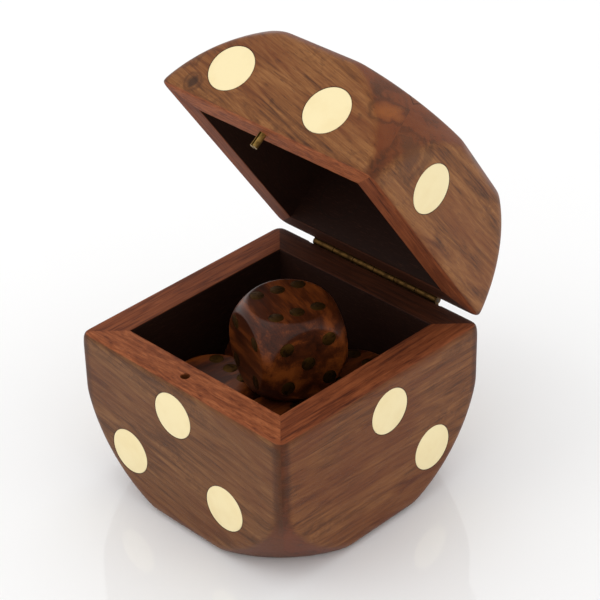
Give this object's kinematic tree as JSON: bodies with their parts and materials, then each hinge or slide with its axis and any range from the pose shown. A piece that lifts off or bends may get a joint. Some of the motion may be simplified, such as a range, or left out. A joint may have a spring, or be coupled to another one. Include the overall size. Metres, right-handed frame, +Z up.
{
  "type": "dice box with hinged lid",
  "caption": "Wooden box shaped like a large die, with a hinged lid, a split-pin catch and loose wooden dice inside.",
  "frame": {"origin": "middle of the resting face on the underside", "axes": "+Z up, -Y the front with the catch, +Y the rear with the hinge, +X to the right seen from the front"},
  "size_m": [0.1, 0.1282, 0.1658],
  "materials": {
    "wall_wood": "satin lacquer over brown streaked hardwood",
    "panel_wood": "satin lacquer over reddish brown hardwood",
    "spot_inlay": "cream inlay, sanded flush",
    "hardware_brass": "plain brass, slightly dulled",
    "hinge_pin_steel": "dull",
    "dice_wood": "polished orange brown hardwood",
    "pip_brass": "dark aged brass, polished flush"
  },
  "bodies": {
    "base": {"base_front_wall": "wall_wood", "base_right_wall": "wall_wood", "base_rear_wall": "wall_wood", "base_left_wall": "wall_wood", "base_floor": "panel_wood", "base_front_spots": "spot_inlay", "base_right_spots": "spot_inlay", "base_rear_spot": "spot_inlay", "base_left_spots": "spot_inlay", "base_bottom_spot": "spot_inlay", "hinge_base_leaf": "hardware_brass", "hinge_pin": "hinge_pin_steel", "hinge_base_screws": "hardware_brass", "die_front_left": "dice_wood", "die_front_right": "dice_wood", "die_rear_left": "dice_wood", "die_rear_right": "dice_wood", "pips_front_left": "pip_brass", "pips_front_right": "pip_brass", "pips_rear_left": "pip_brass", "pips_rear_right": "pip_brass"},
    "lid": {"lid_front_wall": "wall_wood", "lid_right_wall": "wall_wood", "lid_rear_wall": "wall_wood", "lid_left_wall": "wall_wood", "lid_top_panel": "panel_wood", "lid_front_spots": "spot_inlay", "lid_right_spot": "spot_inlay", "lid_rear_spot": "spot_inlay", "lid_left_spots": "spot_inlay", "lid_top_spots": "spot_inlay", "hinge_lid_leaf": "hardware_brass", "hinge_lid_screws": "hardware_brass", "catch_pin": "hardware_brass"},
    "top_die": {"die_top": "dice_wood", "pips_top": "pip_brass"}
  },
  "joints": [
    {"name": "lid_hinge", "type": "hinge", "parent": "base", "child": "lid", "pos_m": [0, 0.05045, 0.06425], "axis": [-1, 0, 0], "range_deg": [-55.2, 94.8]},
    {"name": "top_die_lift", "type": "slide", "parent": "base", "child": "top_die", "axis": [0, 0, 1], "range_m": [0, 0.008]}
  ]
}
